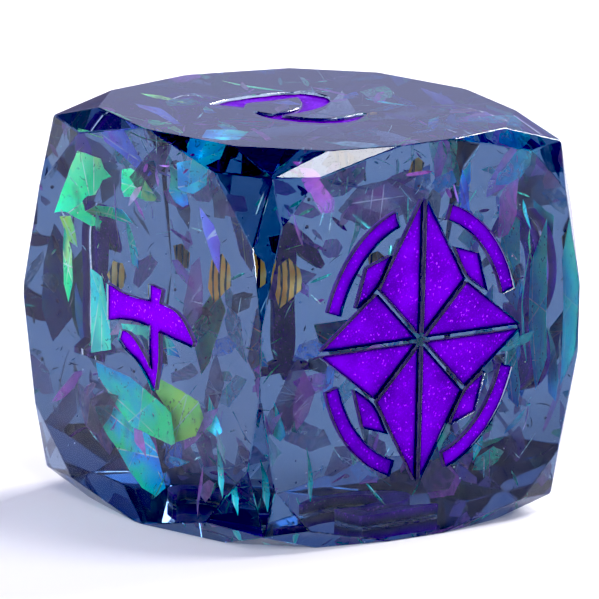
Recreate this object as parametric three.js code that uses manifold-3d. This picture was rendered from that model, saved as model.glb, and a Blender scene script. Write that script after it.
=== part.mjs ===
// A six-sided polyhedral die, hand-polished from a cast block of clear tinted resin.
// The resin body has engraved, paint-filled numerals on five faces and a compass star on the sixth,
// and it holds loose pieces of iridescent film and gold foil. Millimetres, +Z up; the die stands on
// its "5" with the origin under its middle. The star looks along -Y, the "4" along -X.
import * as THREE from "three";
import { ConvexGeometry } from "three/addons/geometries/ConvexGeometry.js";
import { mergeVertices } from "three/addons/utils/BufferGeometryUtils.js";
import Module from "manifold-3d";

const wasm = await Module();
wasm.setup();

// ---- Driving dimensions: millimetres and degrees ----

const dieSize = 16; // across opposite faces
const starFacePolish = 0.24; // how much deeper the star's face is ground than the others
const cornerInset = 0.774; // how far inside each of its three faces a corner's point lies
const edgeFacetTilt = 8.84; // lean of the long facet along an edge, towards its corner
const cornerFacetTilt = 20.48; // between a face and the corner facet beside it

const engravingDepth = 0.5;
const paintThickness = 0.36;
const paintClearance = 0.03; // between a paint fill and the engraved walls and floor

const starMargin = 1.9; // from the star's tips to the top and bottom edges of its face
const starWaist = 0.87; // the star's width for its height
const starShoulder = 2.25; // where neighbouring main points meet, across and up from the centre
const starRib = 0.24; // resin left standing between two fills of the star
const starArcWidth = 0.6;
const starArcShare = 0.86; // the ring's radius, as a share of the main points' reach
const arcStart = 17; // where a quarter of the ring starts and ends, in degrees from level
const arcEnd = 73;
const arcSteps = 8;
const diagonalFoot = 0.4; // how far along a main point's side a diagonal point starts

const filmThickness = 0.08;
const foilThickness = 0.1;
const castClearance = 0.04; // between a film or foil piece and the resin around it
const skin = 0.35; // resin between the fill zone and the engraved floors
const ventRadius = 0.06;

// ---- Derived sizes ----

const degrees = THREE.MathUtils.degToRad;
const half = dieSize / 2;
const starFace = half - starFacePolish;
const cornerReach = half - cornerInset;
const edgeSlope = Math.SQRT2 * Math.tan(degrees(edgeFacetTilt));
const cornerSlope = Math.SQRT2 / Math.tan(degrees(cornerFacetTilt));
const starReachUp = half - starMargin;
const starReachSide = starReachUp * starWaist;
const fillZone = starFace - engravingDepth - skin; // the film lies within this far of the centre

// ---- Materials ----

const clearResin = new THREE.MeshStandardMaterial({
  color: 0x5f7899,
  roughness: 0.05,
  metalness: 0,
  transparent: true,
  opacity: 0.45,
});
const violetPaint = new THREE.MeshStandardMaterial({ color: 0x5a0fb4, roughness: 0.4, metalness: 0.3 });
const goldFoil = new THREE.MeshStandardMaterial({ color: 0xe0b04a, roughness: 0.3, metalness: 1 });
const filmColours = {
  green: 0x2fd08a,
  lime: 0x9be05a,
  cyan: 0x38cfe0,
  blue: 0x3f6ff0,
  violet: 0x8a5fe8,
  plum: 0x8d5f9c,
};
const filmMaterials = {};
for (const [name, color] of Object.entries(filmColours)) {
  filmMaterials[name] = new THREE.MeshStandardMaterial({ color, roughness: 0.2, metalness: 0.4 });
}

// ---- Solids ----

// A three.js geometry as a manifold-3d solid.
function solidFrom(geometry) {
  const bare = geometry.clone();
  bare.deleteAttribute("normal");
  bare.deleteAttribute("uv");
  const merged = mergeVertices(bare, 1e-5);
  return new wasm.Manifold(
    new wasm.Mesh({
      numProp: 3,
      vertProperties: new Float32Array(merged.attributes.position.array),
      triVerts: new Uint32Array(merged.index.array),
    }),
  );
}

// A manifold-3d solid as a three.js geometry.
function geometryFrom(solid) {
  const { vertProperties, triVerts } = solid.getMesh();
  const geometry = new THREE.BufferGeometry();
  geometry.setAttribute("position", new THREE.BufferAttribute(vertProperties, 3));
  geometry.setIndex(new THREE.BufferAttribute(triVerts, 1));
  geometry.computeVertexNormals();
  return geometry;
}

// A flat outline as a plate from z = low to z = high, with its outline's points as they are.
function plate(outline, low, high) {
  const shape = new THREE.Shape(outline);
  const geometry = new THREE.ExtrudeGeometry(shape, { depth: high - low, bevelEnabled: false });
  return geometry.translate(0, 0, low);
}

const union = (solids) => solids.reduce((all, solid) => all.add(solid));

// ---- The faceted body ----

// Every polished plane, as an outward direction and its distance from the die's centre. Each
// corner has a point where six facets meet: one along each of its edges, and one beside each face.
function facetPlanes() {
  const planes = [];
  const polish = (x, y, z, point) => {
    const normal = new THREE.Vector3(x, y, z).normalize();
    planes.push(new THREE.Plane(normal, -normal.dot(point)));
  };
  for (const side of [-1, 1]) {
    polish(side, 0, 0, new THREE.Vector3(side * half, 0, 0));
    polish(0, side, 0, new THREE.Vector3(0, side < 0 ? -starFace : half, 0));
    polish(0, 0, side, new THREE.Vector3(0, 0, side * half));
  }
  for (const x of [-1, 1]) {
    for (const y of [-1, 1]) {
      for (const z of [-1, 1]) {
        const point = new THREE.Vector3(x, y, z).multiplyScalar(cornerReach);
        for (const slope of [edgeSlope, cornerSlope]) {
          polish(x * slope, y, z, point);
          polish(x, y * slope, z, point);
          polish(x, y, z * slope, point);
        }
      }
    }
  }
  return planes;
}

// The point where three planes cross, or null where they don't.
function crossing(a, b, c) {
  const bc = new THREE.Vector3().crossVectors(b.normal, c.normal);
  const ca = new THREE.Vector3().crossVectors(c.normal, a.normal);
  const ab = new THREE.Vector3().crossVectors(a.normal, b.normal);
  const volume = a.normal.dot(bc);
  if (Math.abs(volume) < 1e-6) return null;
  return bc
    .multiplyScalar(-a.constant)
    .addScaledVector(ca, -b.constant)
    .addScaledVector(ab, -c.constant)
    .divideScalar(volume);
}

// The corners of the solid that all the planes enclose.
function facetCorners(planes) {
  const corners = [];
  const isNew = (point) => corners.every((other) => other.distanceTo(point) > 1e-4);
  const isInside = (point) => planes.every((plane) => plane.distanceToPoint(point) < 1e-6);
  for (let i = 0; i < planes.length; i++) {
    for (let j = i + 1; j < planes.length; j++) {
      for (let k = j + 1; k < planes.length; k++) {
        const point = crossing(planes[i], planes[j], planes[k]);
        if (point && isInside(point) && isNew(point)) corners.push(point);
      }
    }
  }
  return corners;
}

// ---- Outlines ----

// The outline of a brush stroke. Each of its nodes is [across, up, half the stroke's width].
function brushStroke(nodes) {
  const steps = 3 * (nodes.length - 1);
  const spine = new THREE.CatmullRomCurve3(nodes.map((node) => new THREE.Vector3(...node)));
  const left = [];
  const right = [];
  for (let i = 0; i <= steps; i++) {
    const { x, y, z: halfWidth } = spine.getPoint(i / steps);
    const along = spine.getTangent(i / steps);
    const normal = new THREE.Vector2(-along.y, along.x).normalize().multiplyScalar(halfWidth);
    left.push(new THREE.Vector2(x + normal.x, y + normal.y));
    right.unshift(new THREE.Vector2(x - normal.x, y - normal.y));
  }
  return [...left, ...right];
}

// The same outline with each side moved inwards.
function inset(outline, distance) {
  const points = THREE.ShapeUtils.isClockWise(outline) ? outline.toReversed() : outline;
  return points.map((point, i) => {
    const before = points.at(i - 1);
    const after = points[(i + 1) % points.length];
    const arriving = new THREE.Vector2(before.y - point.y, point.x - before.x).normalize();
    const leaving = new THREE.Vector2(point.y - after.y, after.x - point.x).normalize();
    const reach = distance / (1 + arriving.dot(leaving));
    return arriving.add(leaving).multiplyScalar(reach).add(point);
  });
}

// Numerals 1 to 5 in one brush hand, drawn about the middle of their face with up along +y.
const numeralStrokes = {
  one: [
    [[-1.7, 1.2, 0.12], [-0.9, 2.0, 0.36], [0.1, 2.9, 0.3]],
    [[0.15, 3.15, 0.12], [0.3, 2.2, 0.62], [0.2, 0, 0.5], [0.1, -2, 0.5], [-0.1, -3.3, 0.1]],
    [[-1.3, -2.9, 0.1], [-0.2, -2.65, 0.3], [1.5, -2.9, 0.12]],
  ],
  two: [
    [[-2.45, 2.1, 0.72], [-1.6, 2.6, 0.52], [-0.3, 2.65, 0.62], [1.0, 2.6, 0.55], [1.9, 2.3, 0.3]],
    [[1.5, 2.9, 0.45], [1.65, 1.8, 0.62], [0.9, 0.7, 0.5], [-0.3, -0.1, 0.28], [-1.9, -0.4, 0.2]],
    [[-2.2, 0.5, 0.1], [-2.1, -0.6, 0.38], [-1.4, -1.9, 0.45], [-0.3, -2.55, 0.42], [1.4, -1.95, 0.08]],
  ],
  three: [
    [
      [-2.3, 2.6, 0.12], [-1.0, 3.2, 0.42], [0.9, 3.0, 0.5],
      [1.9, 2.2, 0.55], [1.5, 1.0, 0.4], [0.2, 0.3, 0.15],
    ],
    [
      [-0.8, 0.25, 0.1], [0.4, 0.4, 0.3], [1.7, -0.2, 0.5],
      [2.3, -1.4, 0.62], [1.7, -2.7, 0.5], [0, -3.4, 0.35],
    ],
    [[0.3, -3.4, 0.35], [-1.2, -3.2, 0.3], [-2.4, -2.5, 0.1]],
  ],
  four: [
    [
      [0.55, 2.4, 0.74], [0.58, 1.4, 0.52], [0.61, 0.2, 0.46],
      [0.57, -1.1, 0.55], [0.4, -2.2, 0.52], [-0.1, -3.3, 0.1],
    ],
    [[1.74, -0.78, 0.42], [1.1, -0.72, 0.33], [0, -0.73, 0.32], [-1.2, -0.8, 0.27], [-2.4, -0.8, 0.08]],
    [[-0.6, 1.5, 0.2], [-0.78, 1.0, 0.34], [-1.2, 0.2, 0.26], [-1.7, -0.35, 0.2], [-2.25, -0.72, 0.08]],
  ],
  five: [
    [[2.4, 2.9, 0.12], [1.0, 2.6, 0.45], [-0.6, 2.7, 0.42], [-1.5, 2.85, 0.3]],
    [[-1.2, 3.1, 0.2], [-1.25, 1.9, 0.42], [-1.5, 0.6, 0.2]],
    [
      [-1.7, 0.55, 0.1], [-0.4, 0.9, 0.36], [1.3, 0.4, 0.55],
      [1.9, -1.0, 0.65], [1.2, -2.4, 0.5], [-0.3, -3.0, 0.3],
    ],
    [[0.1, -2.95, 0.3], [-1.2, -2.8, 0.3], [-2.3, -2.0, 0.1]],
  ],
};

// The compass star's fills in one quarter, to be mirrored into the other three.
function starQuarter() {
  const tip = new THREE.Vector2(0, starReachUp);
  const side = new THREE.Vector2(starReachSide, 0);
  const shoulder = new THREE.Vector2(starShoulder, starShoulder);
  const ringAcross = starReachSide * starArcShare;
  const ringUp = starReachUp * starArcShare;
  const diagonalTip = new THREE.Vector2(ringAcross, ringUp).multiplyScalar(Math.SQRT1_2);
  diagonalTip.setLength(diagonalTip.length() - starArcWidth / 2 - starRib);
  const inner = [];
  const outer = [];
  for (let i = 0; i <= arcSteps; i++) {
    const angle = degrees(arcStart + ((arcEnd - arcStart) * i) / arcSteps);
    const ray = new THREE.Vector2(Math.cos(angle), Math.sin(angle));
    outer.push(new THREE.Vector2(ringAcross, ringUp).addScalar(starArcWidth / 2).multiply(ray));
    inner.unshift(new THREE.Vector2(ringAcross, ringUp).subScalar(starArcWidth / 2).multiply(ray));
  }
  return {
    tall: inset([new THREE.Vector2(0, 0), shoulder, tip], starRib / 2),
    wide: inset([new THREE.Vector2(0, 0), side, shoulder], starRib / 2),
    diagonal: inset(
      [
        shoulder,
        shoulder.clone().lerp(side, diagonalFoot),
        diagonalTip,
        shoulder.clone().lerp(tip, diagonalFoot),
      ],
      starRib / 2,
    ),
    arc: [...outer, ...inner],
  };
}

// ---- Engravings and their paint ----

// Turns a face's own axes (across, up, out) to the die's, with z = 0 on the polished face.
function facePlacement({ out, up, distance, shift = [0, 0] }) {
  const outward = new THREE.Vector3(...out);
  const upward = new THREE.Vector3(...up);
  const across = new THREE.Vector3().crossVectors(upward, outward);
  const centre = outward.clone().multiplyScalar(distance);
  centre.addScaledVector(across, shift[0]).addScaledVector(upward, shift[1]);
  return new THREE.Matrix4().makeBasis(across, upward, outward).setPosition(centre);
}

// The tool that cuts one engraving, and the paint that fills its floor, from the same outlines.
function engrave(outlines, placement) {
  const floor = -engravingDepth + paintClearance;
  const cuts = outlines.map((outline) => plate(outline, -engravingDepth, engravingDepth));
  const fills = outlines.map((outline) =>
    plate(inset(outline, paintClearance), floor, floor + paintThickness),
  );
  const joined = (geometries) =>
    union(geometries.map((geometry) => solidFrom(geometry.applyMatrix4(placement))));
  return { cut: joined(cuts), paint: joined(fills) };
}

const faces = {
  one: { out: [0, 1, 0], up: [0, 0, 1], distance: half },
  two: { out: [0, 0, 1], up: [0, 1, 0], distance: half },
  three: { out: [1, 0, 0], up: [0, 0, -1], distance: half, shift: [1, 0] },
  four: { out: [-1, 0, 0], up: [0, 1, 0], distance: half },
  five: { out: [0, 0, -1], up: [0, -1, 0], distance: half, shift: [0.5, 0.6] },
  star: { out: [0, -1, 0], up: [0, 0, 1], distance: starFace },
};
const quarters = { ne: [1, 1], nw: [-1, 1], sw: [-1, -1], se: [1, -1] };

function engravings() {
  const made = {};
  for (const [numeral, strokes] of Object.entries(numeralStrokes)) {
    made[`numeral_${numeral}_paint`] = engrave(strokes.map(brushStroke), facePlacement(faces[numeral]));
  }
  const placement = facePlacement(faces.star);
  for (const [quarter, [x, y]] of Object.entries(quarters)) {
    for (const [part, outline] of Object.entries(starQuarter())) {
      const mirrored = outline.map((point) => new THREE.Vector2(point.x * x, point.y * y));
      made[`star_${part}_${quarter}_paint`] = engrave([mirrored], placement);
    }
  }
  return made;
}

// ---- Film and foil ----

// Loose pieces of iridescent film, near the "4" first, then the star, the top and the back. Places,
// lengths, widths and the rise of the curled ends are percentages of the fill zone's half width. A
// piece faces along its azimuth and elevation, and spin turns its long side from level to upright.
const films = [
  { hue: "green", at: [-86, 73, 70], aim: [178, 2], spin: 75, long: 48, wide: 40, curl: 2 },
  { hue: "lime", at: [-84, 92, 40], aim: [174, 0], spin: 120, long: 26, wide: 11, curl: 1 },
  { hue: "green", at: [-78, 27, 77], aim: [182, 4], spin: 3, long: 34, wide: 17, curl: 2 },
  { hue: "violet", at: [-70, 47, 92], aim: [180, 20], spin: 162, long: 56, wide: 15, curl: 2 },
  { hue: "cyan", at: [-51, 8, 77], aim: [186, 0], spin: 90, long: 22, wide: 17, curl: 2 },
  { hue: "cyan", at: [-95, 51, -1], aim: [180, 0], spin: 97, long: 49, wide: 18, curl: 1 },
  { hue: "cyan", at: [-91, 22, -8], aim: [180, 0], spin: 2, long: 30, wide: 10, curl: 1 },
  { hue: "green", at: [-90, 22, -48], aim: [180, 0], spin: 162, long: 84, wide: 27, curl: 2 },
  { hue: "lime", at: [-81, -19, -48], aim: [178, 2], spin: 170, long: 47, wide: 32, curl: 1 },
  { hue: "cyan", at: [-71, -38, -50], aim: [184, 0], spin: 116, long: 24, wide: 12, curl: 2 },
  { hue: "blue", at: [-88, 24, -79], aim: [180, 6], spin: 150, long: 70, wide: 28, curl: 2 },
  { hue: "cyan", at: [-43, -34, -82], aim: [196, 0], spin: 100, long: 28, wide: 5, curl: 1 },
  { hue: "cyan", at: [-64, 5, -17], aim: [184, 0], spin: 128, long: 18, wide: 9, curl: 1 },
  { hue: "green", at: [-70, 62, 54], aim: [180, -20], spin: 4, long: 46, wide: 7, curl: 2 },
  { hue: "cyan", at: [-72, -22, 90], aim: [200, 35], spin: 30, long: 26, wide: 18, curl: 2 },
  { hue: "blue", at: [60, -42, 76], aim: [-84, 6], spin: 80, long: 36, wide: 9, curl: 2 },
  { hue: "cyan", at: [93, -68, 4], aim: [-24, 0], spin: 98, long: 62, wide: 22, curl: 3 },
  { hue: "cyan", at: [90, -78, 62], aim: [-50, 0], spin: 122, long: 20, wide: 4, curl: 1 },
  { hue: "green", at: [92, -80, 42], aim: [-40, 0], spin: 116, long: 22, wide: 4, curl: 1 },
  { hue: "green", at: [17, -68, 60], aim: [-80, 0], spin: 66, long: 24, wide: 4, curl: 1 },
  { hue: "plum", at: [8, -26, 74], aim: [-86, 10], spin: 14, long: 60, wide: 25, curl: 4 },
  { hue: "plum", at: [-54, -34, -34], aim: [-96, 0], spin: 62, long: 38, wide: 24, curl: 3 },
  { hue: "plum", at: [-26, -40, -76], aim: [-90, 0], spin: 12, long: 24, wide: 18, curl: 2 },
  { hue: "plum", at: [12, -38, 34], aim: [-90, 0], spin: 70, long: 34, wide: 16, curl: 2 },
  { hue: "cyan", at: [82, -26, -82], aim: [-70, 0], spin: 70, long: 18, wide: 6, curl: 1 },
  { hue: "green", at: [24, 86, 88], aim: [10, 76], spin: 10, long: 38, wide: 7, curl: 1 },
  { hue: "lime", at: [-42, 82, 92], aim: [20, 74], spin: -12, long: 40, wide: 8, curl: 2 },
  { hue: "cyan", at: [-34, 46, 82], aim: [0, 70], spin: -30, long: 24, wide: 7, curl: 1 },
  { hue: "cyan", at: [74, 18, 70], aim: [0, 60], spin: 40, long: 30, wide: 9, curl: 2 },
  { hue: "violet", at: [24, 58, 70], aim: [0, 80], spin: 20, long: 40, wide: 18, curl: 2 },
  { hue: "blue", at: [34, 80, -40], aim: [80, 10], spin: 50, long: 56, wide: 24, curl: 4 },
  { hue: "green", at: [70, 52, -24], aim: [20, -10], spin: 110, long: 50, wide: 22, curl: 3 },
];

// Torn scraps of gold foil.
const foils = [
  { at: [-65, -41, 35], aim: [220, 0], spin: 84, long: 26, wide: 21, curl: 2 },
  { at: [-58, 56, 16], aim: [184, 0], spin: 70, long: 17, wide: 14, curl: 1 },
  { at: [38, -12, 88], aim: [-90, 0], spin: 20, long: 12, wide: 8, curl: 1 },
  { at: [46, 62, 22], aim: [60, 0], spin: 30, long: 16, wide: 12, curl: 1 },
];

const gridUnit = fillZone / 100;

// How much a scrap's outline may differ from a rectangle, as shares of its size.
const taper = 0.32;
const waviness = 0.14;
const waves = 5;
const slant = 0.2;
const twist = 0.5;

// A curled sheet with ragged sides and slanted ends; order varies its outline. Growth makes it
// larger all round, as the hollow that it lies in. Its middle stays at the given place.
function scrap({ at, aim, spin, long, wide, curl }, thickness, growth, order) {
  const halfLong = (long * gridUnit) / 2;
  const halfWide = (wide * gridUnit) / 2;
  const depth = thickness + 2 * growth;
  const geometry = new THREE.BoxGeometry(2, 2, depth, 2, 4, 1);
  const position = geometry.attributes.position;
  for (let i = 0; i < position.count; i++) {
    const across = position.getX(i);
    const along = position.getY(i);
    const rise = curl * gridUnit * along * (along + twist * across);
    const ragged = 1 - taper * along * Math.sin(order) + waviness * Math.sin(waves * along + order);
    const slanted = 1 + slant * across * Math.cos(2 * order);
    position.setX(i, across * (halfWide + growth) * ragged);
    position.setY(i, along * (halfLong + growth) * slanted);
    position.setZ(i, position.getZ(i) + rise);
  }
  const turn = new THREE.Matrix4()
    .makeRotationZ(degrees(aim[0]))
    .multiply(new THREE.Matrix4().makeRotationY(degrees(90 - aim[1])))
    .multiply(new THREE.Matrix4().makeRotationZ(degrees(spin)));
  turn.setPosition(...at.map((share) => share * gridUnit));
  return solidFrom(geometry.applyMatrix4(turn));
}

// A straight square-sided channel between two points.
function channel(from, to, radius) {
  const along = to.clone().sub(from);
  const geometry = new THREE.CylinderGeometry(radius, radius, along.length(), 4);
  const upright = new THREE.Vector3(0, 1, 0);
  const turn = new THREE.Quaternion().setFromUnitVectors(upright, along.normalize());
  geometry.applyQuaternion(turn);
  const middle = from.clone().add(to).multiplyScalar(0.5);
  return solidFrom(geometry.translate(middle.x, middle.y, middle.z));
}

// So that the resin has no sealed hollow, hair-thin vents link each scrap's hollow to the nearest
// one that already has a way out. The first leads up to the floor of the "2", under its paint.
function vents(scraps) {
  const [outletX, outletY] = numeralStrokes.two[1][1];
  const vented = [new THREE.Vector3(outletX, outletY, half - engravingDepth / 2)];
  const waiting = scraps.map(({ at }) => new THREE.Vector3(...at).multiplyScalar(gridUnit));
  const channels = [];
  while (waiting.length) {
    let best = { gap: Infinity };
    for (const from of waiting) {
      for (const to of vented) {
        const gap = from.distanceTo(to);
        if (gap < best.gap) best = { gap, from, to };
      }
    }
    channels.push(channel(best.from, best.to, ventRadius));
    vented.push(best.from);
    waiting.splice(waiting.indexOf(best.from), 1);
  }
  return union(channels);
}

// ---- Assembly ----

const die = new THREE.Group();
die.position.set(0, -starFacePolish / 2, half);

function addPiece(name, solid, material) {
  const mesh = new THREE.Mesh(geometryFrom(solid), material);
  mesh.name = name;
  die.add(mesh);
}

const polished = solidFrom(new ConvexGeometry(facetCorners(facetPlanes())));
const engraved = engravings();
const twoDigits = (index) => String(index + 1).padStart(2, "0");
const filmPieces = films.map((film, i) => ({
  name: `film_${film.hue}_${twoDigits(i)}`,
  material: filmMaterials[film.hue],
  solid: scrap(film, filmThickness, 0, i),
  hollow: scrap(film, filmThickness, castClearance, i),
}));
const foilPieces = foils.map((foil, i) => ({
  name: `gold_foil_${twoDigits(i)}`,
  material: goldFoil,
  solid: scrap(foil, foilThickness, 0, i),
  hollow: scrap(foil, foilThickness, castClearance, i),
}));
const inclusions = [...filmPieces, ...foilPieces];

const hollows = union([
  ...Object.values(engraved).map(({ cut }) => cut),
  ...inclusions.map(({ hollow }) => hollow),
  vents([...films, ...foils]),
]);

addPiece("resin_body", polished.subtract(hollows), clearResin);
for (const [name, { paint }] of Object.entries(engraved)) addPiece(name, paint, violetPaint);
for (const { name, solid, material } of inclusions) addPiece(name, solid, material);

const part = new THREE.Group();
part.add(die);

export default part;
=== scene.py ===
"""A faceted resin die with violet painted engravings and loose iridescent film inside."""

import math
import random

import bmesh
import bpy
import numpy as np
from mathutils import Matrix, Quaternion, Vector, noise
from mathutils.geometry import delaunay_2d_cdt


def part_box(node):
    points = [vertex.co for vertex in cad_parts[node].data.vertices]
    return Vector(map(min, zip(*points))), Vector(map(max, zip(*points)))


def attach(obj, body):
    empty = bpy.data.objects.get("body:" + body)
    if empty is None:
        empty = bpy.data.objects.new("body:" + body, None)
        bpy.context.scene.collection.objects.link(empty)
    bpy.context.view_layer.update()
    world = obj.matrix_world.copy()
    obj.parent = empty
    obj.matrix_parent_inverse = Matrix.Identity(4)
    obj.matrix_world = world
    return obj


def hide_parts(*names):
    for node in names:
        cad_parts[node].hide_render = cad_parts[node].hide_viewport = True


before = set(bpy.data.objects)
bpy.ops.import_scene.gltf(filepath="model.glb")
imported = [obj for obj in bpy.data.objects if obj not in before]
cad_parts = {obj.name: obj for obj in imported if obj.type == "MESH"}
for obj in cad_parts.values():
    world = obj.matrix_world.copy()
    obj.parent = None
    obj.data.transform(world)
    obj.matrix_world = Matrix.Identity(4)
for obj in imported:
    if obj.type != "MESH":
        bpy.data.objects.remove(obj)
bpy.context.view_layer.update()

MM = 0.001

# ---- Camera ----

CAMERA_AZIMUTH = -37.76
CAMERA_ELEVATION = 12.34
CAMERA_ROLL = 1.43
CAMERA_DISTANCE = 433.6  # mm from the die's centre
CAMERA_LENS = 650.4  # mm on a 36 mm sensor
AIM_RIGHT, AIM_UP = -0.038, 0.168  # mm from the die's centre to the point the camera looks at


def direction_to(azimuth, elevation):
    """The direction from the die towards a viewer or a light, by angles in degrees."""
    a, e = math.radians(azimuth), math.radians(elevation)
    return Vector((math.sin(a) * math.cos(e), -math.cos(a) * math.cos(e), math.sin(e)))


def place_camera(centre):
    """The camera at the viewing angle, turned a little about its own axis."""
    back = direction_to(CAMERA_AZIMUTH, CAMERA_ELEVATION)
    level = back.to_track_quat("Z", "Y")
    turn = level @ Matrix.Rotation(math.radians(CAMERA_ROLL), 3, "Z").to_quaternion()
    data = bpy.data.cameras.new("view_camera")
    data.lens = CAMERA_LENS
    data.sensor_width = 36
    data.clip_start, data.clip_end = 0.01, 20
    camera = bpy.data.objects.new("view_camera", data)
    camera.rotation_mode = "QUATERNION"
    camera.rotation_quaternion = turn
    aim = turn @ Vector((AIM_RIGHT, AIM_UP, 0))
    camera.location = centre + (aim + back * CAMERA_DISTANCE) * MM
    bpy.context.scene.collection.objects.link(camera)
    bpy.context.scene.camera = camera


body_low, body_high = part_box("resin_body")
die_centre = (body_low + body_high) / 2
place_camera(die_centre)

# ---- Node materials ----


def set_ramp(ramp, stops):
    """Gives a colour ramp the stops, each a position and a colour."""
    while len(ramp.elements) < len(stops):
        ramp.elements.new(0.5)
    for element, (at, colour) in zip(ramp.elements, stops):
        element.position = at
        element.color = (*colour, 1)


class Shading:
    """A material's node tree, with short calls for the nodes used here."""

    def __init__(self, name):
        self.material = bpy.data.materials.new(name)
        self.material.use_nodes = True
        self.tree = self.material.node_tree
        self.tree.nodes.clear()
        self.output = self.tree.nodes.new("ShaderNodeOutputMaterial")

    def node(self, kind, settings=None, **inputs):
        """A new node. Inputs go by name, or by number as _0, _1 and so on."""
        made = self.tree.nodes.new("ShaderNode" + kind)
        for key, value in (settings or {}).items():
            setattr(made, key, value)
        for key, value in inputs.items():
            numbered = key[1:].isdigit()
            socket = made.inputs[int(key[1:]) if numbered else key.replace("_", " ")]
            if isinstance(value, bpy.types.NodeSocket):
                self.tree.links.new(value, socket)
            else:
                socket.default_value = value
        return made

    def place(self):
        """Where the point is, in metres, in the die's frame."""
        return self.node("TexCoord").outputs["Object"]

    def noise(self, scale, detail=3.0, roughness=0.5, distortion=0.0):
        made = self.node(
            "TexNoise",
            Vector=self.place(),
            Scale=scale,
            Detail=detail,
            Roughness=roughness,
            Distortion=distortion,
        )
        return made.outputs["Fac"]

    def cell_tones(self, scale):
        """Three random values that stay the same across each cell."""
        cells = self.node("TexVoronoi", {"feature": "F1"}, Vector=self.place(), Scale=scale)
        return self.node("SeparateColor", Color=cells.outputs["Color"]).outputs

    def attribute(self, name):
        return self.node("Attribute", {"attribute_name": name}).outputs

    def ramp(self, factor, stops):
        made = self.node("ValToRGB", Fac=factor)
        set_ramp(made.color_ramp, stops)
        return made.outputs["Color"]

    def math(self, operation, a, b=0.0):
        return self.node("Math", {"operation": operation}, _0=a, _1=b).outputs[0]

    def between(self, value, low, high, to_low=0.0, to_high=1.0):
        """The value's place between low and high, carried over to the second range."""
        made = self.node(
            "MapRange", {"clamp": True}, _0=value, _1=low, _2=high, _3=to_low, _4=to_high
        )
        return made.outputs[0]

    def blend(self, factor, a, b):
        return self.node("Mix", {"data_type": "RGBA"}, _0=factor, _6=a, _7=b).outputs[2]

    def bump(self, height, distance, strength=1.0):
        made = self.node("Bump", Height=height, Distance=distance, Strength=strength)
        return made.outputs["Normal"]

    def finish(self, surface, volume=None):
        self.tree.links.new(surface.outputs[0], self.output.inputs["Surface"])
        if volume:
            self.tree.links.new(volume.outputs[0], self.output.inputs["Volume"])
        return self.material


RESIN_IOR = 1.5
RESIN_TINT = (0.06, 0.28, 0.505, 1)
RESIN_DENSITY = 170.0  # per metre


def resin_material():
    """Clear tinted resin: facets with faint hand-polish waves, frosted where it is engraved."""
    s = Shading("clear_resin")
    engraved = s.attribute("engraved")["Fac"]
    waves = s.noise(260, detail=1.0)
    scuffs = s.noise(2600, detail=4.0, roughness=0.7)
    polished = s.between(scuffs, 0.62, 0.9, 0.0, 0.02)
    frosted = s.between(scuffs, 0.3, 0.7, 0.22, 0.38)
    rough = s.node("Mix", {"data_type": "FLOAT"}, _0=engraved, _2=polished, _3=frosted)
    grain = s.math("MULTIPLY", scuffs, s.math("MULTIPLY", engraved, 0.6))
    height = s.math("ADD", waves, grain)
    surface = s.node(
        "BsdfPrincipled",
        Base_Color=(0.98, 0.985, 1.0, 1),
        Roughness=rough.outputs[0],
        IOR=RESIN_IOR,
        Transmission_Weight=1.0,
        Normal=s.bump(height, 0.000006),
    )
    volume = s.node("VolumeAbsorption", Color=RESIN_TINT, Density=RESIN_DENSITY)
    return s.finish(surface, volume)


FINE_GLITTER = 21000  # grains per metre
COARSE_GLITTER = 15000


def paint_material():
    """Violet enamel full of fine glitter, with painted shade that turns it near-black where it climbs
    the engraved walls.
    """
    s = Shading("violet_glitter_paint")
    climb = s.attribute("climb")["Fac"]
    fine = s.cell_tones(FINE_GLITTER)
    coarse = s.cell_tones(COARSE_GLITTER)
    fine_spark = s.between(fine[0], 0.70, 0.96)
    coarse_spark = s.between(coarse[1], 0.92, 0.99)
    cloud = s.noise(700, detail=3.0)
    deep = s.ramp(cloud, [(0.3, (0.085, 0.003, 0.30)), (0.7, (0.17, 0.006, 0.62))])
    colour = s.blend(s.math("MULTIPLY", fine_spark, 0.6), deep, (0.20, 0.006, 0.75, 1))
    colour = s.blend(coarse_spark, colour, (0.36, 0.06, 0.98, 1))
    # painted shade: the paint turns near-black along the engraved walls
    colour = s.blend(climb, colour, (0.006, 0.001, 0.02, 1))
    surface = s.node(
        "BsdfPrincipled",
        Base_Color=colour,
        Metallic=s.between(fine_spark, 0.0, 1.0, 0.1, 0.5),
        Roughness=s.between(cloud, 0.3, 0.7, 0.55, 0.42),
        Specular_IOR_Level=0.12,
        Normal=s.bump(s.math("ADD", fine[2], s.noise(2500)), 0.00002, 0.6),
    )
    return s.finish(surface)


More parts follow.
